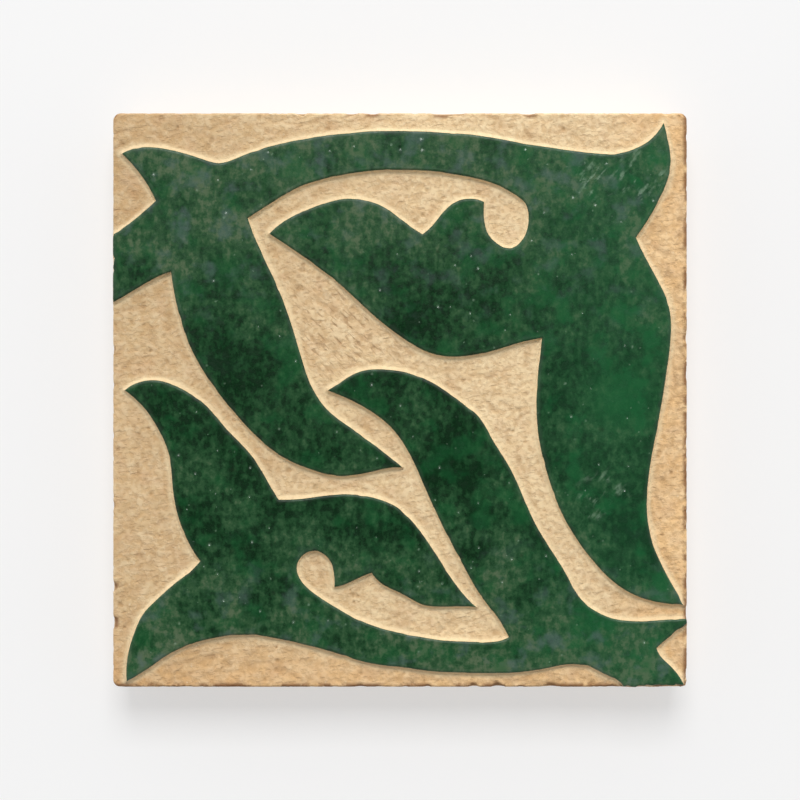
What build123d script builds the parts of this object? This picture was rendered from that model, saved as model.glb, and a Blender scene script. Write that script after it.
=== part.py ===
from build123d import *
import os

# A square tile of fired clay. Its glazed face was cut away by hand around a leaf ornament, so that the
# ornament stands up as smooth glazed plateaus over a rough ground of bare clay. It is one fired piece.
# The origin is at the middle of the back. X runs along the foot of the ornament, Y up it and Z out of the face.
# All sizes are in millimetres.

# The blank
face_side = 100.0  # side of the square face
tile_thickness = 12.0  # from the back to the top of the glaze
butt_height = 4.0  # upright band under the face, where the next tile touches
back_inset = 1.0  # how far each side leans in between that band and the back

# The carving
carving_depth = 1.0  # from the top of the glaze down to the bare ground

# The ornament is drawn on a square of this many units, measured from the lower left corner of the face.
drawing_side = 100.0

# Each outline is a closed chain of runs. A run is a smooth curve through its points, or a straight line
# where it has one point. It ends in a corner, at the first point of the next run.
# Points outside the square lie past the tile's edge, where the ornament runs on over the next tile.

upper_ornament = [
    # arm that runs off the left edge, upper side
    [(-3.0, 76.9), (2.3, 80.2), (5.0, 82.3)],
    # horn over the arm, underside
    [(7.6, 84.6), (6.4, 87.0), (4.3, 90.0)],
    # horn's back, the dip behind it and the long crest
    [(1.7, 92.8), (3.3, 93.55), (7.2, 93.9), (12.0, 93.0), (15.6, 91.9), (18.3, 91.15), (21.6, 92.0), (25.0, 93.3),
     (30.0, 94.7), (37.6, 96.0), (46.0, 96.7), (55.0, 96.6), (64.0, 95.9), (75.0, 94.0), (82.0, 93.1), (87.0, 92.75),
     (91.4, 93.9)],
    # right ear, outer side
    [(95.8, 98.1), (96.7, 94.5), (96.9, 90.0), (95.3, 85.4), (93.0, 81.2)],
    # chest and neck, outer side
    [(91.0, 78.2), (92.4, 75.2), (94.6, 71.1), (96.5, 67.0), (97.1, 62.0), (96.6, 57.0), (95.4, 49.0), (93.9, 41.0),
     (93.0, 34.8), (93.1, 28.8), (94.6, 23.2), (97.0, 18.5)],
    # neck, inner side
    [(99.3, 14.3), (95.0, 14.85), (91.0, 16.0), (86.3, 19.1), (82.4, 23.5), (79.0, 28.6), (76.3, 35.0), (74.6, 41.0),
     (73.7, 48.0), (74.0, 54.5)],
    # big leaf, underside
    [(74.7, 60.8), (70.0, 59.7), (66.0, 58.5), (61.0, 57.6), (55.8, 58.0), (52.0, 59.8), (45.0, 65.1), (40.0, 69.7),
     (33.4, 74.8)],
    # big leaf, back
    [(27.3, 78.9), (30.0, 81.1), (35.0, 83.5), (41.5, 85.0), (46.8, 83.7), (50.2, 81.4)],
    # hump beside the big curl
    [(53.9, 78.8), (57.0, 82.0), (59.6, 84.4), (62.4, 85.0)],
    # big curl and the underside of the crest
    [(64.6, 84.4), (64.6, 81.7), (65.3, 78.9), (67.2, 77.0), (69.3, 76.4), (71.3, 77.9), (72.3, 81.0), (71.7, 84.2),
     (70.0, 85.7), (66.0, 87.7), (61.0, 88.95), (56.0, 89.7), (50.5, 90.0), (45.0, 89.8), (38.0, 88.7), (32.0, 86.8),
     (27.7, 84.3)],
    # stem, right side
    [(23.5, 81.6), (25.8, 75.9), (28.3, 70.6), (30.7, 64.4), (32.7, 57.9), (34.5, 52.6), (37.2, 48.5), (41.8, 44.9),
     (46.8, 41.2)],
    # stem, left side
    [(50.4, 38.3), (47.0, 38.0), (43.0, 37.1), (39.0, 36.8), (35.0, 37.8), (30.0, 39.9), (25.6, 43.2), (21.5, 47.5),
     (17.1, 53.1), (13.8, 58.8), (11.7, 64.6)],
    # arm, lower side
    [(10.2, 72.3), (8.1, 71.5), (5.0, 69.8), (0.0, 66.9)],
    # past the left edge
    [(-3.0, 65.4)],
]

lower_ornament = [
    # left horn, upper side
    [(2.2, 51.7), (4.4, 53.0), (7.8, 53.4), (11.5, 52.2), (15.9, 49.4), (20.3, 44.5), (24.0, 40.6), (26.8, 36.2)],
    # small leaf, back
    [(28.9, 32.7), (33.5, 32.9), (40.0, 33.6), (45.0, 33.1), (49.2, 31.5), (53.5, 27.2), (56.8, 22.3), (60.0, 17.5)],
    # small leaf, underside
    [(63.3, 14.0), (57.5, 14.1), (53.5, 14.6), (50.6, 16.2), (47.6, 17.6)],
    # notch beside the small curl
    [(45.1, 20.0), (42.9, 19.1), (41.0, 18.2)],
    # small curl and the upper side of the foot
    [(38.6, 17.5), (38.5, 20.0), (37.6, 22.4), (35.2, 23.8), (32.9, 22.8), (32.1, 20.9), (32.9, 18.5), (35.8, 15.9),
     (41.0, 12.7), (46.8, 10.3), (52.8, 9.0), (58.4, 8.15), (63.0, 8.0), (67.0, 8.05)],
    # middle leaf, underside
    [(68.9, 8.8), (66.8, 12.4), (64.2, 15.8), (61.4, 20.5), (58.5, 26.0), (55.8, 31.5), (53.3, 37.2), (50.1, 43.2),
     (46.6, 46.9), (42.0, 49.7)],
    # middle leaf, back
    [(37.5, 51.7), (40.0, 53.3), (43.2, 55.0), (47.5, 55.3), (51.8, 54.6), (57.0, 52.2), (60.6, 49.6), (63.3, 47.5),
     (66.0, 43.3), (69.2, 38.0), (72.5, 30.6), (75.5, 25.1), (78.7, 20.0), (80.9, 16.1), (84.0, 13.3), (88.0, 11.8),
     (93.0, 11.6), (97.0, 11.9)],
    # past the right edge
    [(100.5, 11.9)],
    # wedge cut in the right edge, upper side
    [(100.5, 11.4), (97.2, 9.2)],
    # wedge, lower side
    [(94.6, 6.9), (95.2, 5.6), (97.4, 3.4), (98.6, 1.9)],
    # past the bottom edge
    [(99.7, -0.5)],
    # foot, lower side
    [(89.2, -0.5), (88.4, 0.8), (85.8, 2.3), (83.1, 3.6), (80.0, 4.1), (75.9, 3.5), (70.0, 2.65), (63.0, 2.65),
     (56.0, 2.85), (50.0, 3.6), (44.1, 4.4), (40.0, 5.7), (33.0, 7.6), (25.0, 9.1), (19.6, 9.0), (15.0, 8.0),
     (10.0, 5.9), (6.0, 3.2)],
    # left ear, outer side
    [(2.5, 1.1), (2.6, 5.0), (3.8, 9.4), (5.3, 12.7), (7.4, 15.0), (10.0, 17.4), (13.2, 19.9)],
    # left cheek and horn, outer side
    [(15.3, 22.0), (13.6, 24.6), (12.2, 27.6), (11.1, 31.1), (10.4, 35.8), (9.8, 40.8), (8.1, 44.8), (5.0, 49.2)],
]


def on_face(point):
    """A drawn point's place on the tile, from the middle of the face."""
    middle = drawing_side / 2
    unit = face_side / drawing_side
    x, y = point
    return (x - middle) * unit, (y - middle) * unit


def outline_edges(runs):
    """The edges of a closed chain of runs, in order."""
    edges = []
    for run, next_run in zip(runs, runs[1:] + runs[:1]):
        points = [on_face(point) for point in run + next_run[:1]]
        edges.append(Line(*points) if len(points) == 2 else Spline(*points))
    return edges


def plateau(runs):
    """One raised part of the ornament, from the ground up to the top of the glaze."""
    outline = make_face(outline_edges(runs))
    ground_height = tile_thickness - carving_depth
    return Pos(0, 0, ground_height) * extrude(outline, carving_depth)


def blank():
    """The uncut tile: a square with an upright band under its face and sides that lean in below it."""
    band_foot = tile_thickness - butt_height
    back_side = face_side - 2 * back_inset
    band = Pos(0, 0, band_foot) * extrude(Rectangle(face_side, face_side), butt_height)
    back_outline = Rectangle(back_side, back_side).face()
    band_outline = Pos(0, 0, band_foot) * Rectangle(face_side, face_side).face()
    return band + loft([back_outline, band_outline])


def carved_ground():
    """The clay cut away from the face, all round the ornament."""
    ground_height = tile_thickness - carving_depth
    whole_face = Pos(0, 0, ground_height) * extrude(Rectangle(face_side, face_side), carving_depth)
    return whole_face - plateau(upper_ornament) - plateau(lower_ornament)


tile = blank() - carved_ground()

os.makedirs("parts", exist_ok=True)
export_step(tile, "parts/tile.step")
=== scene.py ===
import math

import bmesh
import bpy
import numpy as np
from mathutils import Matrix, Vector, geometry, noise
from mathutils.bvhtree import BVHTree


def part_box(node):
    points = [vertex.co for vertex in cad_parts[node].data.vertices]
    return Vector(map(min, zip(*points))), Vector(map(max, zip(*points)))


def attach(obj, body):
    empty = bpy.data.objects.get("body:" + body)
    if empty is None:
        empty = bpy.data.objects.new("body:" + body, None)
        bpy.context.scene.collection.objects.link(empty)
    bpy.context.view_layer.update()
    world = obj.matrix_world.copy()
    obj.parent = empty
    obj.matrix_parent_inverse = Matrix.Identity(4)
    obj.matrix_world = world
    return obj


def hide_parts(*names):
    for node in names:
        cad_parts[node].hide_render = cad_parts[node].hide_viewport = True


# One fired clay tile, lying on its back with its carved and glazed face up.
# The shapes are worked out in millimetres, and each mesh is made in metres.
MM = 0.001
hair = 0.001  # in millimetres, too little to be a feature
chance = np.random.default_rng(41)

# The glaze, a fired skin on the raised ornament
glaze_thickness = 0.38
glaze_rounding = 0.26  # how far in from its edge it is rounded over
glaze_bed = 0.05  # how far it reaches down into the clay under it
shaded_rim_width = 0.9  # along its edge, this wide, the glaze is darkened as painted shade, and made rougher
pinhole_count = 45  # in each patch

# The carved ground
wall_lean = 0.55  # a carved wall's foot lies this far out from its top
foot_groove = 0.02  # the knife went this much deeper along the foot
arris_rounding = 0.3  # the worn edge of the tile's face
side_roughness = 0.5  # the deepest hollows left in the sides when they were trimmed
tool_mark_count = 560
pit_count = 170
pocket_middle = (-9.0, 13.0)  # the wide pocket between stem and leaf, cut on the slant
pocket_reach = 20.0
slant = -44  # degrees, and so the scraping ran in that pocket
scraping = 8  # degrees, and so it ran elsewhere

# The sides, in millimetres over the back
side_levels = (10.6, 10.2, 9.7, 9.0, 8.3, 7.6, 6.9, 6.2, 5.5, 4.8, 4.1, 3.5, 2.9, 2.3, 1.7, 1.1, 0.6, 0.25)

# The room
tile_share = 0.72  # of the picture's width
floor_clearance = 0.02  # keeps the floor off the tile's flat back
floor_size = 12.0  # in metres
lamp_place = (0.0, 1.15, 1.6)  # in metres
lamp_size = 0.9  # in metres
lamp_power = 27.0  # in watts

# How closely the meshes follow the forms
wall_rows = (0.1, 0.21, 0.32, 0.43, 0.55, 0.7, 0.92)  # rows of points this far out from an outline
arris_rows = (0.1, 0.24, 0.45)
glaze_rows = (0.04, 0.1, 0.18, 0.28, 0.45, 0.68)
outline_gap = 0.25
ground_gap = 0.31
glaze_gap = 0.31
edge_gap = 0.36
back_gap = 1.5


def smooth_step(value, low, high):
    """0 below low, 1 above high, and a soft rise between them."""
    share = np.clip((value - low) / (high - low), 0, 1)
    return share * share * (3 - 2 * share)


def unevenness(points, size, layer, height=0.0):
    """A soft random field from about -1 to 1, with hills about size millimetres across."""
    layer_gap = 17.3
    places = np.column_stack([points[:, 0], points[:, 1], np.broadcast_to(height, len(points))]) / size
    return np.array([noise.noise(Vector(place) + Vector((0, 0, layer_gap * layer))) for place in places])


# Reading the frame

def chained(edges):
    """Closed loops of points, from the edges of a border."""
    beside = {}
    for edge in edges:
        for corner in edge.verts:
            beside.setdefault(corner, []).append(edge.other_vert(corner))
    loops = []
    while beside:
        corner = next(iter(beside))
        loop = []
        while corner in beside:
            loop.append(corner.co.xy / MM)
            following = [other for other in beside.pop(corner) if other in beside]
            corner = following[0] if following else None
        loops.append(np.array(loop))
    return loops


def counterclockwise(loop):
    """The loop, turned round if it runs clockwise."""
    after = np.roll(loop, -1, axis=0)
    area = np.sum(loop[:, 0] * after[:, 1] - loop[:, 1] * after[:, 0]) / 2
    return loop if area > 0 else loop[::-1]


def read_frame(node):
    """The tile's levels and the outlines of its raised faces, in millimetres."""
    mesh = bmesh.new()
    mesh.from_mesh(node.data)
    bmesh.ops.remove_doubles(mesh, verts=mesh.verts, dist=hair * MM)
    level_face = 0.99  # of the upward part of a normal
    facing_up = [face for face in mesh.faces if face.normal.z > level_face]
    levels = sorted(round(face.calc_center_median().z / MM, 3) for face in facing_up)
    low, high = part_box(node.name)
    half = high.x / MM
    raised = {face for face in facing_up if face.calc_center_median().z / MM > levels[-1] - 10 * hair}
    rim = [edge for edge in mesh.edges if sum(face in raised for face in edge.link_faces) == 1]
    outlines = [counterclockwise(loop) for loop in chained(rim)]
    corners = np.array([corner.co / MM for corner in mesh.verts])
    on_side = corners[corners[:, 0] > half - hair]
    on_back = corners[corners[:, 2] < hair]
    mesh.free()
    levels_read = {"top": levels[-1], "ground": levels[0], "band_foot": on_side[:, 2].min()}
    return {**levels_read, "half": half, "back_half": on_back[:, 0].max(), "outlines": outlines}


# Lines on the face

def outward(loop):
    """The unit normals of a counterclockwise loop, pointing out of it."""
    along = np.roll(loop, -1, axis=0) - np.roll(loop, 1, axis=0)
    normals = np.column_stack([along[:, 1], -along[:, 0]])
    return normals / np.maximum(np.linalg.norm(normals, axis=1, keepdims=True), 1e-9)


def along_run(run, gap):
    """Points about a gap apart on a smooth curve through a run's points, without the last one."""
    chord = np.concatenate([[0], np.cumsum(np.linalg.norm(np.diff(run, axis=0), axis=1))])
    count = max(1, round(chord[-1] / gap))
    wanted = np.linspace(0, chord[-1], count, endpoint=False)
    if len(run) == 2:
        return run[0] + (run[1] - run[0]) * (wanted / chord[-1])[:, None]
    slope = np.gradient(run, chord, axis=0)
    part = np.clip(np.searchsorted(chord, wanted, side="right") - 1, 0, len(run) - 2)
    step = (chord[part + 1] - chord[part])[:, None]
    share = (wanted[:, None] - chord[part][:, None]) / step
    start, end = run[part], run[part + 1]
    leave, arrive = slope[part] * step, slope[part + 1] * step
    return (start + leave * share + (3 * (end - start) - 2 * leave - arrive) * share ** 2
            + (2 * (start - end) + leave + arrive) * share ** 3)


def sharp_corners(loop, sharp_turn=math.radians(24)):
    """Where in a closed loop its sharp corners are."""
    before = loop - np.roll(loop, 1, axis=0)
    after = np.roll(loop, -1, axis=0) - loop
    heading = np.arctan2(after[:, 1], after[:, 0]) - np.arctan2(before[:, 1], before[:, 0])
    turn = np.abs((heading + math.pi) % (2 * math.pi) - math.pi)
    return np.flatnonzero(turn > sharp_turn)


def evenly_spaced(loop, gap):
    """A closed loop redrawn with points about a gap apart, smooth except at its sharp corners."""
    corners = sharp_corners(loop)
    loop = np.roll(loop, -corners[0], axis=0)
    stops = [*(corners - corners[0]), len(loop)]
    closed = np.vstack([loop, loop[:1]])
    return np.vstack([along_run(closed[a:b + 1], gap) for a, b in zip(stops, stops[1:])])


def corner_loss(points):
    """How far the corners of the tile's square are knocked back, from 0 away from them to 1."""
    reach = 1.3
    to_corner = 2 * np.abs(points).max() - np.abs(points).sum(axis=1)
    return np.clip(1 - to_corner / reach, 0, 1) ** 2


def edge_loss(points):
    """How far the tile's arris is worn and knocked back at these places along it."""
    wear = 0.05 + 0.05 * np.abs(unevenness(points, size=1.1, layer=1))
    chips = 1.1 * np.clip(unevenness(points, size=2.4, layer=2) - 0.24, 0, 0.4)
    crumbs = 0.28 * np.clip(unevenness(points, size=0.8, layer=3) - 0.25, 0, 0.3)
    return wear + chips + crumbs + 0.5 * corner_loss(points)


def drawn_in(square, inset):
    """A loop on the tile's square edge, moved in by an inset at each point."""
    return square * (1 - inset / np.abs(square).max(axis=1))[:, None]


def tile_border(half):
    """Points round the tile's square, before anything is knocked off it."""
    count = round(2 * half / edge_gap)
    side = np.linspace(-half, half, count, endpoint=False)
    level = np.full(count, half)
    return np.vstack([np.column_stack(pair) for pair in
                      ((side, -level), (level, side), (-side, level), (-level, -side))])


# Points and triangles on a face

class Spread:
    """Points that keep their distance from each other."""

    def __init__(self, cell):
        self.cell = cell
        self.cells = {}
        self.points = []

    def add(self, points, gap):
        """Takes each point that has no other one nearer than gap. A gap of 0 takes them all."""
        for x, y in points:
            column, row = int(x // self.cell), int(y // self.cell)
            near = (other for i in (-1, 0, 1) for j in (-1, 0, 1)
                    for other in self.cells.get((column + i, row + j), ()))
            if gap == 0 or all((x - a) ** 2 + (y - b) ** 2 >= gap * gap for a, b in near):
                self.cells.setdefault((column, row), []).append((x, y))
                self.points.append((x, y))


def ribbon(loops):
    """A search tree of the loops' segments, stood up as a ribbon, and each segment's heading."""
    corners, strips, headings = [], [], []
    for loop in loops:
        first, count = len(corners) // 2, len(loop)
        for x, y in loop:
            corners += [(x, y, -1), (x, y, 1)]
        for i in range(count):
            a, b = 2 * (first + i), 2 * (first + (i + 1) % count)
            strips.append((a, b, b + 1, a + 1))
        after = np.roll(loop, -1, axis=0) - loop
        headings.append(np.arctan2(after[:, 1], after[:, 0]))
    return BVHTree.FromPolygons(corners, strips), np.concatenate(headings)


def nearest(points, tree):
    """Each point's distance to the loops of a ribbon, and the heading of the line there."""
    segments, headings = tree
    found = [segments.find_nearest(Vector((x, y, 0))) for x, y in points]
    return np.array([hit[3] for hit in found]), headings[[hit[2] for hit in found]]


def triangulated(loops, points=()):
    """Triangles on the loops' points and the given ones, none of them across a loop.

    Gives the corners, the triangles, the corner that each loop point became, and the loops that each
    triangle lies in.
    """
    corners = [Vector(point) for loop in loops for point in loop] + [Vector(point) for point in points]
    starts = np.cumsum([0] + [len(loop) for loop in loops])
    rings = [list(range(a, b)) for a, b in zip(starts, starts[1:])]
    inside_only, tolerance = 1, 1e-6
    found = geometry.delaunay_2d_cdt(corners, [], rings, inside_only, tolerance)
    placed, _, triangles, sources, _, holders = found
    became = np.zeros(len(corners), int)
    for i, source in enumerate(sources):
        became[source] = i
    return np.array(placed), np.array(triangles), became[:starts[-1]], holders


def outline_of(corners, triangles):
    """The longest closed loop round a patch of triangles."""
    edges = {(a, b) for face in triangles.tolist() for a, b in zip(face, face[1:] + face[:1])}
    following = {a: b for a, b in edges if (b, a) not in edges}
    loops = []
    while following:
        loop = [next(iter(following))]
        while loop[-1] in following:
            loop.append(following.pop(loop[-1]))
        loops.append(loop[:-1])
    return corners[max(loops, key=len)]


def glaze_outline(loop, square):
    """The edge of one patch of glaze: cut by hand, with small bites, and chipped along the tile's edge."""
    loop = evenly_spaced(loop, outline_gap)
    wobble = 0.05 * unevenness(loop, size=3.5, layer=4) + 0.03 * unevenness(loop, size=0.9, layer=5)
    bites = 0.35 * np.clip(unevenness(loop, size=2.6, layer=6) - 0.32, 0, 0.4)
    loop = loop + outward(loop) * (wobble - bites)[:, None]
    broken_back = 0.07 + 1.1 * np.clip(unevenness(square, size=1.5, layer=7) - 0.05, 0, 0.4)
    limit = drawn_in(square, edge_loss(square) + broken_back)
    corners, triangles, _, holders = triangulated([loop, limit])
    loop = outline_of(corners, triangles[[len(set(holder)) == 2 for holder in holders]])
    step = np.linalg.norm(loop - np.roll(loop, 1, axis=0), axis=1)
    return loop[step > outline_gap / 3]


def over(points, corners, triangles):
    """Whether each point lies over one of the triangles."""
    tree = BVHTree.FromPolygons([(x, y, 0) for x, y in corners], triangles.tolist())
    down = Vector((0, 0, -1))
    return np.array([tree.ray_cast(Vector((x, y, 1)), down)[2] is not None for x, y in points])


def field_of_points(half, gap):
    """A field of points in staggered rows, each a little out of line."""
    row_gap = gap * math.sqrt(3) / 2
    in_row = np.arange(-half, half, gap)
    rows = np.arange(-half, half, row_gap)
    places = [(x + (gap / 2 if i % 2 else 0), y) for i, y in enumerate(rows) for x in in_row]
    stray = 0.12  # of the gap
    return np.array(places) + chance.uniform(-stray, stray, (len(places), 2)) * gap


def circle(count):
    """Points round a circle of radius 1."""
    angles = np.linspace(0, 2 * math.pi, count, endpoint=False)
    return np.column_stack([np.cos(angles), np.sin(angles)])


def rows_along(spread, loop, side, distances, tree, gap):
    """Adds rows of points beside a loop and round its sharp corners, at set distances from it."""
    normals = outward(loop) * side
    slack = 0.015
    for distance in distances:
        arcs = [corner + distance * circle(24) for corner in loop[sharp_corners(loop)]]
        row = np.vstack([loop + normals * distance, *arcs])
        away, _ = nearest(row, tree)
        spread.add(row[away > distance - slack], gap)


def rings_round(places, radii):
    """Points at each place and in two rings round it, so that a mesh can follow a hollow there."""
    rings = np.vstack([[(0, 0)], 0.5 * circle(8), circle(10)])
    return (places[:, None] + radii[:, None, None] * rings).reshape(-1, 2)


def hollows(points, places, radii, depths):
    """How deep round hollows with uneven edges go at each point."""
    waver = 1 + 0.3 * unevenness(points, size=0.9, layer=17)
    depth = np.zeros(len(points))
    for place, radius, deepest in zip(places, radii, depths):
        away = waver * np.linalg.norm(points - place, axis=1) / radius
        depth = np.maximum(depth, deepest * np.clip(1 - away ** 2, 0, 1) ** 1.5)
    return depth


# Meshes

def mesh_piece(name, corners, faces, **masks):
    """A new object from corners in millimetres, with a named value on each corner for every mask."""
    mesh = bpy.data.meshes.new(name)
    mesh.from_pydata((np.asarray(corners) * MM).tolist(), [], [list(map(int, face)) for face in faces])
    for mask, values in masks.items():
        stored = mesh.attributes.new(mask, "FLOAT", "POINT")
        stored.data.foreach_set("value", np.asarray(values, np.float32))
    piece = bpy.data.objects.new(name, mesh)
    bpy.context.collection.objects.link(piece)
    return piece


def strip_faces(rows, count):
    """The faces between rows of corners round a loop, with count corners in each row."""
    faces = []
    for row in range(rows - 1):
        for i in range(count):
            after = (i + 1) % count
            above, below = row * count, (row + 1) * count
            faces.append((above + i, below + i, below + after, above + after))
    return faces


def welded(pieces, name, smooth_below):
    """The pieces joined in one closed mesh, facing out, with edges sharper than an angle left sharp."""
    bpy.ops.object.select_all(action="DESELECT")
    for piece in pieces:
        piece.select_set(True)
    bpy.context.view_layer.objects.active = pieces[0]
    bpy.ops.object.join()
    bpy.ops.object.mode_set(mode="EDIT")
    bpy.ops.mesh.select_all(action="SELECT")
    bpy.ops.mesh.remove_doubles(threshold=4 * hair * MM)
    bpy.ops.mesh.normals_make_consistent(inside=False)
    bpy.ops.object.mode_set(mode="OBJECT")
    bpy.ops.object.shade_smooth_by_angle(angle=math.radians(smooth_below))
    piece = bpy.context.view_layer.objects.active
    piece.name = piece.data.name = name
    piece.select_set(False)
    return piece


# The clay

def short_cuts(points, degrees, layer):
    """Narrow overlapping hollows, from 0 to about 1, that run in one direction."""
    stretch = 2.4  # how much longer they are than wide
    ahead = np.array([math.cos(math.radians(degrees)), math.sin(math.radians(degrees))])
    along, across = points @ ahead, points @ np.array([-ahead[1], ahead[0]])
    return np.abs(unevenness(np.column_stack([along / stretch, across]), size=0.95, layer=layer))


def scraped(points):
    """How deep the chisel went: nearly level on most of the ground, and on the slant in the wide pocket."""
    pocket = smooth_step(np.linalg.norm(points - pocket_middle, axis=1), pocket_reach, pocket_reach / 3)
    level_cuts = 0.09 * (1 - pocket) * short_cuts(points, scraping, layer=14)
    return level_cuts + 0.15 * pocket * short_cuts(points, slant, layer=15)


def tool_marks(points, places, walls):
    """How deep the knife's strokes go at each point. Each one runs past its place, along the nearest wall."""
    depth = np.zeros(len(points))
    _, headings = nearest(places, walls)
    for place, heading in zip(places, headings):
        angle = heading + chance.normal(0, 0.22)
        length, width = chance.uniform(1.2, 4.5), chance.uniform(0.45, 0.9)
        ahead = np.array([math.cos(angle), math.sin(angle)])
        offset = points - place
        along, across = offset @ ahead, offset @ np.array([-ahead[1], ahead[0]])
        bend = across - chance.normal(0, 0.02) * along ** 2
        profile = np.clip(1 - np.abs(bend) / width, 0, 1) * np.clip(1 - (along / length) ** 2, 0, 1)
        depth = np.maximum(depth, chance.uniform(0.04, 0.13) * profile)
    return depth


def clay_face(tile, border, outlines, walls):
    """The clay's upper side: the carved ground, its walls and the flat tops that carry the glaze."""
    half = tile["half"]
    coarse, triangles, _, _ = triangulated(outlines)
    spread = Spread(0.5)
    spread.add(np.vstack([border, *outlines]), 0)
    spread_start = len(spread.points)
    for loop in outlines:
        rows_along(spread, loop, 1, wall_rows, walls, gap=0.1)
    fence = ribbon([border])
    rows_along(spread, border, -1, arris_rows, fence, gap=0.18)
    field = field_of_points(half, ground_gap)
    away, _ = nearest(field, walls)
    field = field[(away > wall_rows[-1] + 0.08) & ~over(field, coarse, triangles)]
    pit_places = field[chance.choice(len(field), pit_count, replace=False)]
    pit_radii = chance.uniform(0.3, 0.8, pit_count)
    spread.add(rings_round(pit_places, pit_radii), gap=0.09)
    spread.add(field, ground_gap * 0.7)
    points = np.array(spread.points[spread_start:])
    to_edge, _ = nearest(points, fence)
    within = over(points, border, triangulated([border])[1])
    points = points[~over(points, coarse, triangles) & within & (to_edge > 0.07)]
    corners, faces, became, holders = triangulated([border, *outlines], points)
    carries_glaze = np.zeros(len(corners), bool)
    carries_glaze[np.unique(faces[[max(holder) > 0 for holder in holders]])] = True

    away, _ = nearest(corners, walls)
    to_edge, _ = nearest(corners, fence)
    ground, under_glaze = tile["ground"], tile["top"] - glaze_thickness
    rough = (0.09 * unevenness(corners, size=9.0, layer=10) + 0.05 * unevenness(corners, size=2.8, layer=11)
             + 0.02 * unevenness(corners, size=0.8, layer=12))
    strokes = tool_marks(corners, chance.choice(points, tool_mark_count, replace=False), walls)
    pits = hollows(corners, pit_places, pit_radii, chance.uniform(0.07, 0.2, pit_count))
    open_ground = smooth_step(away, 0.3, 1.2)
    floor = ground + (rough - scraped(corners) - strokes - pits) * open_ground
    lean = wall_lean * (1 + 0.4 * unevenness(corners, size=5.0, layer=13)
                        + 0.2 * unevenness(corners, size=1.3, layer=16))
    climb = np.clip(1 - away / lean, 0, 1) ** 1.4
    groove = foot_groove * np.exp(-((away - lean) / 0.22) ** 2)
    height = floor - groove + (under_glaze - floor) * climb
    rounded = arris_rounding * (1 - np.sqrt(1 - np.clip(1 - to_edge / arris_rounding, 0, 1) ** 2))
    chipped = np.clip(edge_loss(corners) - 0.12, 0, 0.6)
    sunk = 0.9 * chipped * np.clip(1 - to_edge / 0.9, 0, 1)
    height = height - 0.8 * rounded - sunk
    height[carries_glaze] = under_glaze
    # The cut walls are paler clay. The pale tint also reaches out over the ground past each wall's foot, as
    # painted light that lifts the shade there.
    wall_and_painted_light = np.where(carries_glaze, 1.0, smooth_step(away / lean, 2.2, 0.9))
    broken = np.clip(chipped * 4, 0, 1) * smooth_step(to_edge, 0.8, 0.2)
    masks = {"wall_and_painted_light": wall_and_painted_light, "broken": broken,
             "strokes": np.clip(strokes * 12, 0, 1), "pits": np.clip(pits * 9, 0, 1)}
    face = mesh_piece("face", np.column_stack([corners, height]), faces, **masks)
    return face, height[became[:len(border)]]


def build_clay(tile, square, outlines):
    """The whole clay body, closed, with a rough face, hand-cut sides and a plain back."""
    half = tile["half"]
    loss = edge_loss(square)
    border = drawn_in(square, loss)
    walls = ribbon(outlines)
    face, rim_height = clay_face(tile, border, outlines, walls)

    rows, row_broken = [np.column_stack([border, rim_height])], [np.clip(loss * 3 - 0.3, 0, 1)]
    lean_in = (half - tile["back_half"]) / tile["band_foot"]
    for step, upright_level in enumerate(side_levels, 1):
        level = np.minimum(upright_level, rim_height - 0.1 * step)
        lean = lean_in * np.maximum(0, tile["band_foot"] - level)
        fading = np.exp(-(rim_height - level) / 0.5)
        rough = (0.05 + 0.09 * np.abs(unevenness(square, 3.2, 20, height=level))
                 + 0.05 * unevenness(square, 1.9, 21, height=level))
        trimmed = smooth_step(tile["band_foot"] - level, 0, 2.5)
        hewn = side_roughness * trimmed * np.abs(unevenness(square, 5.5, 24, height=1.6 * level))
        foot = 0.35 * (1 - smooth_step(level, 0, 1.0))
        knocked = corner_loss(square) * (0.3 + 0.25 * unevenness(square, 2.5, 25, height=level))
        inset = lean + foot + np.maximum(loss * fading, rough + hewn + knocked)
        rows.append(np.column_stack([drawn_in(square, inset), level]))
        row_broken.append(np.clip(loss * fading * 3 - 0.3, 0, 1))
    back_inset = lean_in * tile["band_foot"] + 0.55 + 0.3 * np.abs(unevenness(square, size=2, layer=22))
    back_loop = drawn_in(square, back_inset + 0.3 * corner_loss(square))
    rows.append(np.column_stack([back_loop, np.zeros(len(square))]))
    row_broken.append(np.zeros(len(square)))
    count = len(square)
    side_faces = strip_faces(len(rows), count)
    sides = mesh_piece("sides", np.vstack(rows), side_faces, broken=np.concatenate(row_broken))

    fence = ribbon([back_loop])
    inner = field_of_points(half, back_gap)
    inner = inner[np.abs(inner).max(axis=1) < tile["back_half"] - 1.2]
    placed, back_faces, _, _ = triangulated([back_loop], inner)
    to_edge, _ = nearest(placed, fence)
    lift = 0.16 * np.clip(unevenness(placed, size=7.0, layer=23), 0, 1) * smooth_step(to_edge, 0.2, 2.5)
    back = mesh_piece("back", np.column_stack([placed, lift]), back_faces[:, ::-1])
    return welded([face, sides, back], "clay_body", smooth_below=42)


# The glaze

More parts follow.
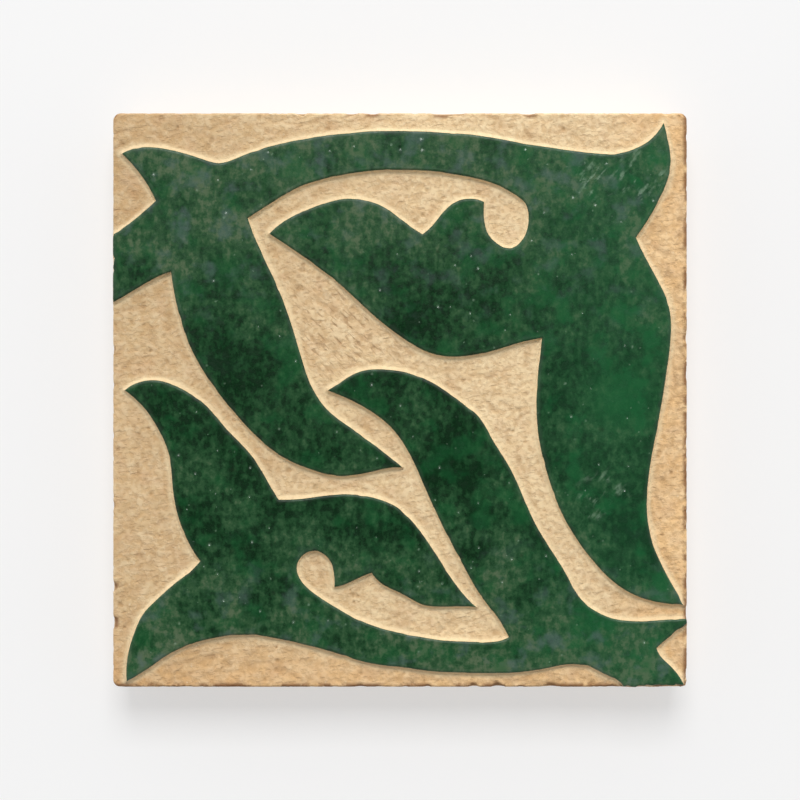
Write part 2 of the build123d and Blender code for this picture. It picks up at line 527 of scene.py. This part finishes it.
def build_glaze(tile, name, outline):
    """One patch of glaze: a thin closed skin with a rounded edge and small pinholes."""
    tree = ribbon([outline])
    spread = Spread(0.5)
    spread.add(outline, 0)
    rows_along(spread, outline, -1, glaze_rows, tree, gap=0.09)
    coarse, triangles, _, _ = triangulated([outline])
    field = field_of_points(tile["half"], glaze_gap)
    field = field[over(field, coarse, triangles)]
    away, _ = nearest(field, tree)
    field = field[away > glaze_rows[-1] + 0.07]
    hole_places = field[chance.choice(len(field), pinhole_count, replace=False)]
    hole_radii = chance.uniform(0.14, 0.36, pinhole_count)
    spread.add(rings_round(hole_places, hole_radii), gap=0.06)
    spread.add(field, glaze_gap * 0.7)
    points = np.array(spread.points[len(outline):])
    points = points[over(points, coarse, triangles)]
    corners, faces, became, _ = triangulated([outline], points)

    away, _ = nearest(corners, tree)
    pinholes = hollows(corners, hole_places, hole_radii, 0.35 * hole_radii)
    swell = 0.03 * unevenness(corners, size=8.0, layer=30) + 0.014 * unevenness(corners, size=2.2, layer=31)
    rolled = 1 - np.sqrt(1 - np.clip(1 - away / glaze_rounding, 0, 1) ** 2)
    height = tile["top"] - 0.02 + swell - 0.62 * glaze_thickness * rolled - pinholes
    rim = 1 - smooth_step(away, 0.0, shaded_rim_width)
    masks = {"rim": rim, "pinhole": np.clip(pinholes * 8, 0, 1)}
    top = mesh_piece("top", np.column_stack([corners, height]), faces, **masks)

    edge_height = height[became]
    foot = tile["top"] - glaze_thickness - glaze_bed
    count = len(outline)
    rows = [np.column_stack([outline, edge_height])]
    for share in (0.5, 1.0):
        rows.append(np.column_stack([outline, edge_height + (foot - edge_height) * share]))
    side = mesh_piece("side", np.vstack(rows), strip_faces(len(rows), count), rim=np.ones(3 * count))
    flat, flat_faces, _, _ = triangulated([outline])
    under = mesh_piece("under", np.column_stack([flat, np.full(len(flat), foot)]), flat_faces[:, ::-1])
    return welded([top, side, under], name, smooth_below=50)


# Materials

def srgb(red, green, blue):
    """A colour given as a screen shows it, as the linear value that a shader takes."""
    def linear(value):
        value /= 255
        return value / 12.92 if value <= 0.04045 else ((value + 0.055) / 1.055) ** 2.4
    return linear(red), linear(green), linear(blue), 1.0


def node(tree, kind, inputs=(), **settings):
    """Adds a node, with its properties and its inputs set, or linked where a socket is given."""
    made = tree.nodes.new("ShaderNode" + kind)
    for name, value in settings.items():
        setattr(made, name, value)
    for socket, value in dict(inputs).items():
        if isinstance(value, bpy.types.NodeSocket):
            tree.links.new(value, made.inputs[socket])
        else:
            made.inputs[socket].default_value = value
    return made


def new_effect(name, inputs):
    """An empty shader node group with named inputs and one output called Mask."""
    tree = bpy.data.node_groups.new(name, "ShaderNodeTree")
    for socket, value in inputs.items():
        kind = "NodeSocketVector" if socket in ("Place", "Middle", "Stretch") else "NodeSocketFloat"
        made = tree.interface.new_socket(socket, in_out="INPUT", socket_type=kind)
        if value is not None:
            made.default_value = value
    tree.interface.new_socket("Mask", in_out="OUTPUT", socket_type="NodeSocketFloat")
    given = tree.nodes.new("NodeGroupInput").outputs
    return tree, given, tree.nodes.new("NodeGroupOutput").inputs["Mask"]


def patches_effect():
    """Soft patches: 0 where the noise is under Low, 1 where it is over High. Size is in millimetres."""
    tree, given, mask = new_effect("patches", {
        "Place": None, "Stretch": (1, 1, 1), "Size": 5.0, "Detail": 2.0, "Seed": 0.0,
        "Low": 0.3, "High": 0.7})
    stretched = node(tree, "VectorMath", {0: given["Place"], 1: given["Stretch"]}, operation="MULTIPLY")
    shifted = node(tree, "VectorMath", {0: stretched.outputs[0], 1: given["Seed"]}, operation="ADD")
    scale = node(tree, "Math", {0: 1 / MM, 1: given["Size"]}, operation="DIVIDE")
    noisy = node(tree, "TexNoise", {"Vector": shifted.outputs[0], "Scale": scale.outputs[0],
                                    "Detail": given["Detail"], "Roughness": 0.55})
    shaped = node(tree, "MapRange", {"Value": noisy.outputs["Fac"], "From Min": given["Low"],
                                     "From Max": given["High"]}, interpolation_type="SMOOTHSTEP")
    tree.links.new(shaped.outputs["Result"], mask)
    return tree


def specks_effect():
    """Ragged specks, most of them small, in some of the cells of a loose grid.

    Spacing is in millimetres. Share is that of the cells which hold a speck, and Radius is in cells.
    """
    tree, given, mask = new_effect("specks", {
        "Place": None, "Spacing": 1.5, "Seed": 0.0, "Share": 0.3, "Radius": 0.25})
    shifted = node(tree, "VectorMath", {0: given["Place"], 1: given["Seed"]}, operation="ADD")
    scale = node(tree, "Math", {0: 1 / MM, 1: given["Spacing"]}, operation="DIVIDE")
    fine = node(tree, "Math", {0: scale.outputs[0], 1: 2.6}, operation="MULTIPLY")
    waver = node(tree, "TexNoise", {"Vector": shifted.outputs[0], "Scale": fine.outputs[0], "Detail": 1.0})
    ragged = node(tree, "VectorMath", {0: waver.outputs["Color"], 1: (0.45 * MM,) * 3, 2: shifted.outputs[0]},
                  operation="MULTIPLY_ADD")
    cells = node(tree, "TexVoronoi", {"Vector": ragged.outputs[0], "Scale": scale.outputs[0]})
    lot = node(tree, "SeparateColor", {"Color": cells.outputs["Color"]})
    chosen = node(tree, "Math", {0: lot.outputs[0], 1: given["Share"]}, operation="LESS_THAN")
    mostly_small = node(tree, "Math", {0: lot.outputs[1], 1: 2.5}, operation="POWER")
    unlike = node(tree, "Math", {0: mostly_small.outputs[0], 1: 0.9, 2: 0.5}, operation="MULTIPLY_ADD")
    reach = node(tree, "Math", {0: unlike.outputs[0], 1: given["Radius"]}, operation="MULTIPLY")
    disc = node(tree, "MapRange", {"Value": cells.outputs["Distance"], "From Min": reach.outputs[0],
                                   "From Max": 0.0}, interpolation_type="SMOOTHSTEP")
    product = node(tree, "Math", {0: disc.outputs["Result"], 1: chosen.outputs[0]}, operation="MULTIPLY")
    tree.links.new(product.outputs[0], mask)
    return tree


def pool_effect():
    """1 in the middle of a round area and 0 from its radius out. Middle and Radius are in metres."""
    tree, given, mask = new_effect("pool", {"Place": None, "Middle": (0, 0, 0), "Radius": 0.01})
    away = node(tree, "VectorMath", {0: given["Place"], 1: given["Middle"]}, operation="DISTANCE")
    fade = node(tree, "MapRange", {"Value": away.outputs["Value"], "From Min": given["Radius"],
                                   "From Max": 0.0}, interpolation_type="SMOOTHSTEP")
    tree.links.new(fade.outputs["Result"], mask)
    return tree


class Finish:
    """One material in the making: its node tree, its object coordinates and its running colour."""

    def __init__(self, name, effects):
        self.material = bpy.data.materials.new(name)
        self.material.use_nodes = True
        self.tree = self.material.node_tree
        self.shader = self.tree.nodes["Principled BSDF"]
        self.place = self.tree.nodes.new("ShaderNodeTexCoord").outputs["Object"]
        self.effects = effects

    def effect(self, name, **inputs):
        """The mask of a shared effect, over the object's own coordinates unless others are given."""
        made = self.tree.nodes.new("ShaderNodeGroup")
        made.node_tree = self.effects[name]
        for socket, value in {"Place": self.place, **inputs}.items():
            if isinstance(value, bpy.types.NodeSocket):
                self.tree.links.new(value, made.inputs[socket])
            else:
                made.inputs[socket].default_value = value
        return made.outputs["Mask"]

    def pool(self, middle, radius, height):
        """The mask of a round area, with its middle, radius and height over the back in millimetres."""
        middle_x, middle_y = middle
        place = (middle_x * MM, middle_y * MM, height * MM)
        return self.effect("pool", Middle=place, Radius=radius * MM)

    def pools(self, under, areas, height):
        """A mask with round areas added, each given as a middle and a radius."""
        for middle_x, middle_y, radius in areas:
            under = self.math("MAXIMUM", under, self.pool((middle_x, middle_y), radius, height))
        return under

    def along_axes(self):
        """The object's own X, Y and Z."""
        return node(self.tree, "SeparateXYZ", {"Vector": self.place}).outputs[:]

    def turned(self, degrees):
        """The object's own coordinates, turned about Z."""
        turn = (0, 0, -math.radians(degrees))
        return node(self.tree, "Mapping", {"Vector": self.place, "Rotation": turn}).outputs["Vector"]

    def rise(self, value, start, end):
        """0 up to start, 1 from end on, and a soft rise between them."""
        return node(self.tree, "MapRange", {"Value": value, "From Min": start, "From Max": end},
                    interpolation_type="SMOOTHSTEP").outputs["Result"]

    def value_of(self, attribute):
        """A value stored on the mesh."""
        return node(self.tree, "Attribute", attribute_name=attribute).outputs["Fac"]

    def math(self, operation, *values, clamp=False):
        """Arithmetic on values and sockets."""
        made = node(self.tree, "Math", dict(enumerate(values)), operation=operation, use_clamp=clamp)
        return made.outputs[0]

    def mixed(self, share, under, over, blend="MIX"):
        """One colour laid over another by a share from 0 to 1."""
        made = node(self.tree, "Mix", data_type="RGBA", blend_type=blend)
        for socket, value in zip((made.inputs[0], made.inputs[6], made.inputs[7]), (share, under, over)):
            if isinstance(value, bpy.types.NodeSocket):
                self.tree.links.new(value, socket)
            else:
                socket.default_value = value
        return made.outputs[2]

    def laid_over(self, under, over, mask, share, blend="MIX"):
        """A colour laid over another by a mask, and at most by the given share."""
        return self.mixed(self.math("MULTIPLY", mask, share), under, over, blend)

    def ramp(self, value, stops):
        """A colour read from a ramp of (place, colour) stops."""
        made = node(self.tree, "ValToRGB", {"Fac": value})
        elements = made.color_ramp.elements
        elements[0].position, elements[0].color = stops[0]
        elements[1].position, elements[1].color = stops[-1]
        for place, colour in stops[1:-1]:
            elements.new(place).color = colour
        return made.outputs["Color"]

    def colour(self, value):
        """Gives the surface its colour."""
        self.tree.links.new(value, self.shader.inputs["Base Color"])

    def roughness(self, value):
        """Gives the surface a roughness that changes over it."""
        self.tree.links.new(value, self.shader.inputs["Roughness"])

    def relief(self, height, depth):
        """Fine relief, as bump, depth metres high."""
        bump = node(self.tree, "Bump", {"Height": height, "Distance": depth, "Strength": 1.0})
        self.tree.links.new(bump.outputs["Normal"], self.shader.inputs["Normal"])


def clay_material(effects):
    """Bare sandy clay, paler to the right, with fine grit and scratches of the chisel."""
    clay = Finish("fired_clay", effects)
    x, y, z = clay.along_axes()
    face_level = 11  # of the carved ground, in millimetres

    pale_side = clay.rise(x, -0.058, 0.018)
    broad = clay.effect("patches", Size=13.0, Seed=3.0)
    colour = clay.mixed(pale_side, srgb(219, 188, 143), srgb(255, 228, 182))
    colour = clay.laid_over(colour, srgb(242, 210, 166), broad, 0.25)
    margin = clay.rise(clay.math("MAXIMUM", clay.math("MULTIPLY", y, -0.92), x), 0.034, 0.046)
    colour = clay.laid_over(colour, srgb(255, 232, 206), margin, 0.75, "MULTIPLY")
    # Painted shade: the clay darkened over a broad round area at the top-left corner.
    painted_shade = clay.pool((-45, 42), 42, face_level)
    colour = clay.laid_over(colour, srgb(236, 232, 226), painted_shade, 0.8, "MULTIPLY")

    cloudy = clay.effect("patches", Size=2.6, Seed=11.0, Detail=4.0, Low=0.35, High=0.65)
    colour = clay.laid_over(colour, srgb(255, 236, 200), cloudy, 0.3)
    blush = clay.effect("patches", Size=4.0, Seed=29.0, Detail=3.0, Low=0.5, High=0.68)
    colour = clay.laid_over(colour, srgb(216, 172, 132), blush, 0.28)
    smears = clay.effect("patches", Place=clay.turned(5), Size=1.3, Seed=19.0, Stretch=(0.45, 1.2, 1.0),
                         Detail=5.0, Low=0.42, High=0.62)
    colour = clay.laid_over(colour, srgb(210, 162, 114), smears, 0.2)
    grit = clay.effect("patches", Size=0.8, Seed=5.0, Detail=8.0, Low=0.4, High=0.64)
    colour = clay.laid_over(colour, srgb(200, 158, 106), grit, 0.37)

    level = clay.effect("patches", Place=clay.turned(scraping), Size=0.7, Seed=9.0, Stretch=(0.42, 1.3, 1.0),
                        Detail=2.0, Low=0.56, High=0.7)
    slanted = clay.effect("patches", Place=clay.turned(slant), Size=0.7, Seed=15.0, Stretch=(0.3, 1.3, 1.0),
                          Detail=2.0, Low=0.54, High=0.68)
    pocket = clay.pool(pocket_middle, pocket_reach, face_level)
    scratch = clay.math("MAXIMUM", clay.math("MULTIPLY", level, 0.6), clay.math("MULTIPLY", slanted, pocket))
    colour = clay.laid_over(colour, srgb(168, 128, 92), scratch, 0.6)
    pale_grains = clay.effect("specks", Spacing=0.9, Seed=2.0, Share=0.3, Radius=0.24)
    colour = clay.laid_over(colour, srgb(244, 226, 194), pale_grains, 0.55)
    dark_grains = clay.effect("specks", Spacing=1.5, Seed=7.0, Share=0.28, Radius=0.16)
    colour = clay.laid_over(colour, srgb(142, 102, 66), dark_grains, 0.42)

    colour = clay.laid_over(colour, srgb(190, 152, 108), clay.value_of("strokes"), 0.3)
    colour = clay.laid_over(colour, srgb(160, 122, 80), clay.value_of("pits"), 0.35)
    # Paler cut walls, and painted light on the ground at their feet.
    colour = clay.laid_over(colour, srgb(246, 225, 184), clay.value_of("wall_and_painted_light"), 0.6)

    # Dark brown in patches along the right and lower arrises, and on the chipped places.
    arris = clay.rise(clay.math("MAXIMUM", clay.math("MULTIPLY", y, -1.0), x), 0.0489, 0.0497)
    arris_patches = clay.effect("patches", Size=2.8, Seed=61.0, Detail=6.0, Low=0.4, High=0.54)
    arris = clay.math("MULTIPLY", arris, clay.rise(z, 0.0088, 0.0104))
    chips_and_dark_arris = clay.math("MAXIMUM", clay.value_of("broken"), clay.math("MULTIPLY", arris, arris_patches))
    colour = clay.laid_over(colour, srgb(124, 78, 46), chips_and_dark_arris, 0.8)

    clay.colour(colour)
    clay.shader.inputs["Roughness"].default_value = 0.92
    clay.shader.inputs["Specular IOR Level"].default_value = 0.2
    height = clay.math("ADD", clay.math("MULTIPLY", grit, -0.6), clay.math("MULTIPLY", scratch, -0.5))
    clay.relief(height, 0.12 * MM)
    return clay.material


def glaze_material(effects):
    """Green glaze: pooled dark in places, thin and greyish towards two of the tile's sides, with pinholes."""
    glaze = Finish("green_glaze", effects)
    x, y, _ = glaze.along_axes()
    face_level = 12  # of the glaze, in millimetres

    thin_above = glaze.math("MULTIPLY", glaze.rise(y, 0.0, 0.042), 0.29)
    thin = glaze.math("MULTIPLY_ADD", glaze.rise(y, -0.018, -0.047), 0.36, thin_above)
    shoulder = glaze.pool((-36, 28), 20, face_level)
    thin = glaze.math("MULTIPLY_ADD", shoulder, 0.12, thin)
    deep_areas = ((-24, 3, 15), (7, 13, 14), (6, -12, 17), (41, -23, 12), (-6, -21, 8), (-37, -4, 10))
    deep = glaze.pools(0.0, deep_areas, face_level)
    cloud = glaze.effect("patches", Size=7.0, Seed=21.0, Detail=3.0, Low=0.32, High=0.68)
    brushed = glaze.effect("patches", Size=0.9, Seed=31.0, Stretch=(1.0, 0.45, 1.0), Detail=3.0,
                           Low=0.34, High=0.66)
    mottle = glaze.effect("patches", Size=1.2, Seed=37.0, Detail=7.0, Low=0.36, High=0.64)
    grain = glaze.effect("patches", Size=0.4, Seed=71.0, Detail=3.0, Low=0.36, High=0.64)
    depth = glaze.math("MULTIPLY_ADD", cloud, 0.42, 0.05)
    for mask, share in ((grain, 0.12), (brushed, 0.28), (mottle, 0.4), (deep, 0.2)):
        depth = glaze.math("MULTIPLY_ADD", mask, share, depth)
    depth = glaze.math("SUBTRACT", depth, thin, clamp=True)
    colour = glaze.ramp(depth, [(0.0, srgb(88, 108, 80)), (0.3, srgb(53, 89, 57)), (0.58, srgb(32, 71, 41)),
                                (0.95, srgb(7, 42, 18))])

    fresh = glaze.effect("patches", Size=5.0, Seed=43.0, Detail=3.0, Low=0.5, High=0.68)
    fresh = glaze.pools(fresh, ((-30.0, 22.5, 5), (38.0, 0.0, 9)), face_level)
    fresh_share = glaze.math("MULTIPLY_ADD", glaze.rise(x, 0.008, 0.044), 0.3, 0.4)
    colour = glaze.laid_over(colour, srgb(22, 92, 48), fresh, fresh_share)
    colour = glaze.laid_over(colour, srgb(46, 112, 72), glaze.rise(x, 0.01, 0.04), 0.18)
    ashen = glaze.effect("patches", Size=4.0, Seed=59.0, Detail=3.0, Low=0.5, High=0.7)
    where_thin = glaze.math("MULTIPLY", thin, 1.6, clamp=True)
    colour = glaze.laid_over(colour, srgb(88, 108, 104), ashen, where_thin)

    pinholes = glaze.effect("specks", Spacing=1.6, Seed=13.0, Share=0.34, Radius=0.17)
    strokes = glaze.effect("patches", Place=glaze.turned(52), Size=1.4, Seed=47.0, Stretch=(0.5, 1.3, 1.0),
                           Detail=4.0, Low=0.48, High=0.68)
    clusters = glaze.effect("patches", Size=2.6, Seed=67.0, Detail=3.0, Low=0.42, High=0.6)
    scuffed = glaze.pools(0.0, ((33.5, 38.0, 6), (41.5, 39.0, 8), (35.0, -17.0, 7)), face_level)
    scuffs = glaze.math("MULTIPLY", glaze.math("MULTIPLY", strokes, clusters), glaze.rise(scuffed, 0.05, 0.7))
    dark_spots = glaze.effect("specks", Spacing=3.5, Seed=83.0, Share=0.4, Radius=0.2)
    colour = glaze.laid_over(colour, srgb(26, 38, 22), dark_spots, 0.45)
    bare = glaze.math("MAXIMUM", glaze.math("MULTIPLY", pinholes, 0.8), scuffs)
    bare = glaze.math("MAXIMUM", bare, glaze.math("MULTIPLY", glaze.value_of("pinhole"), 0.5))
    colour = glaze.laid_over(colour, srgb(142, 170, 144), bare, 0.55)
    # Painted shade: a dark line along each glaze patch's edge and down its sides.
    colour = glaze.laid_over(colour, srgb(24, 46, 24), glaze.value_of("rim"), 0.22)

    glaze.colour(colour)
    shine = glaze.math("MULTIPLY_ADD", mottle, 0.12, 0.16)
    glaze.roughness(glaze.math("MULTIPLY_ADD", glaze.value_of("rim"), 0.3, shine))
    glaze.shader.inputs["Specular IOR Level"].default_value = 0.45
    ripple = glaze.effect("patches", Size=0.8, Seed=53.0, Low=0.2, High=0.8)
    height = glaze.math("SUBTRACT", glaze.math("MULTIPLY", ripple, 0.5), bare)
    glaze.relief(height, 0.025 * MM)
    return glaze.material


# The room

def pale_floor():
    """A near-white floor that keeps the tile's shadow, but pale."""
    paint = bpy.data.materials.new("pale_floor")
    paint.use_nodes = True
    tree = paint.node_tree
    shader = tree.nodes["Principled BSDF"]
    shader.inputs["Base Color"].default_value = (0.9, 0.9, 0.9, 1)
    shader.inputs["Roughness"].default_value = 1.0
    ray = tree.nodes.new("ShaderNodeLightPath").outputs
    seen = node(tree, "Math", {0: ray["Is Camera Ray"], 1: ray["Is Glossy Ray"]}, operation="MAXIMUM")
    seen = node(tree, "Math", {0: seen.outputs[0], 1: ray["Is Transmission Ray"]}, operation="MAXIMUM")
    white_share = 0.55
    share = node(tree, "Math", {0: seen.outputs[0], 1: white_share}, operation="MULTIPLY")
    white = node(tree, "Emission", {"Strength": 1.0})
    both = node(tree, "MixShader", {0: share.outputs[0], 1: shader.outputs[0], 2: white.outputs[0]})
    tree.links.new(both.outputs[0], tree.nodes["Material Output"].inputs["Surface"])
    return paint


def room_light():
    """Light from a pale room: bright low down, dimmer overhead and towards the lower side of the picture."""
    world = bpy.data.worlds.new("pale_room")
    world.use_nodes = True
    tree = world.node_tree
    heading = node(tree, "SeparateXYZ", {"Vector": tree.nodes.new("ShaderNodeTexCoord").outputs["Generated"]})
    level = node(tree, "MapRange", {"Value": heading.outputs["Z"], "From Min": 0.25, "From Max": 0.92,
                                    "To Min": 1.2, "To Max": 0.07}, interpolation_type="SMOOTHSTEP")
    side = node(tree, "MapRange", {"Value": heading.outputs["Y"], "From Min": -0.85, "From Max": 0.1,
                                   "To Min": 0.35, "To Max": 1.0}, interpolation_type="SMOOTHSTEP")
    light = node(tree, "Math", {0: level.outputs["Result"], 1: side.outputs["Result"]}, operation="MULTIPLY")
    tree.links.new(light.outputs[0], tree.nodes["Background"].inputs["Color"])
    bpy.context.scene.world = world


def build_stage():
    """A plain pale floor, and soft light that falls mostly from the top of the picture."""
    bpy.ops.mesh.primitive_plane_add(size=floor_size, location=(0, 0, -floor_clearance * MM))
    floor = bpy.context.active_object
    floor.name = "floor"
    floor.data.materials.append(pale_floor())
    room_light()
    light = bpy.data.lights.new("key_lamp", "AREA")
    light.shape, light.size, light.energy = "SQUARE", lamp_size, lamp_power
    lamp = bpy.data.objects.new("key_lamp", light)
    bpy.context.collection.objects.link(lamp)
    lamp.location = lamp_place
    lamp.rotation_euler = (-Vector(lamp_place)).to_track_quat("-Z", "Y").to_euler()
    bpy.context.scene.view_settings.view_transform = "Standard"


def add_camera(tile):
    """A camera straight above the tile, which fills most of the frame."""
    data = bpy.data.cameras.new("camera")
    data.lens, data.sensor_width = 100, 36
    camera = bpy.data.objects.new("camera", data)
    bpy.context.collection.objects.link(camera)
    shown_width = 2 * tile["half"] / tile_share
    camera.location = (0, 0, (tile["top"] + shown_width * data.lens / data.sensor_width) * MM)
    bpy.context.scene.camera = camera


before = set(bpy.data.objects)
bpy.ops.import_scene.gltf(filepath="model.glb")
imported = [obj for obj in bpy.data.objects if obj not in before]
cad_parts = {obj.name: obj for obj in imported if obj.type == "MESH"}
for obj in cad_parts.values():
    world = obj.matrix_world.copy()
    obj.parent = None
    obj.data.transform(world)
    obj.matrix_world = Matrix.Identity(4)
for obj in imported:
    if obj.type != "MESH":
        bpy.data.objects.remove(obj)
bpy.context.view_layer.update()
bpy.ops.object.select_all(action="DESELECT")
tile = read_frame(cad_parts["tile"])
square = tile_border(tile["half"])
outlines = [glaze_outline(loop, square) for loop in tile["outlines"]]
clay = build_clay(tile, square, outlines)
effects = {"patches": patches_effect(), "specks": specks_effect(), "pool": pool_effect()}
clay.data.materials.append(clay_material(effects))
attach(clay, "root")
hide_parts("tile")
green = glaze_material(effects)
outlines.sort(key=lambda loop: -loop[:, 1].mean())
for name, outline in zip(("glaze_upper", "glaze_lower"), outlines):
    glaze = build_glaze(tile, name, outline)
    glaze.data.materials.append(green)
    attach(glaze, "root")
    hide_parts("tile")
build_stage()
add_camera(tile)
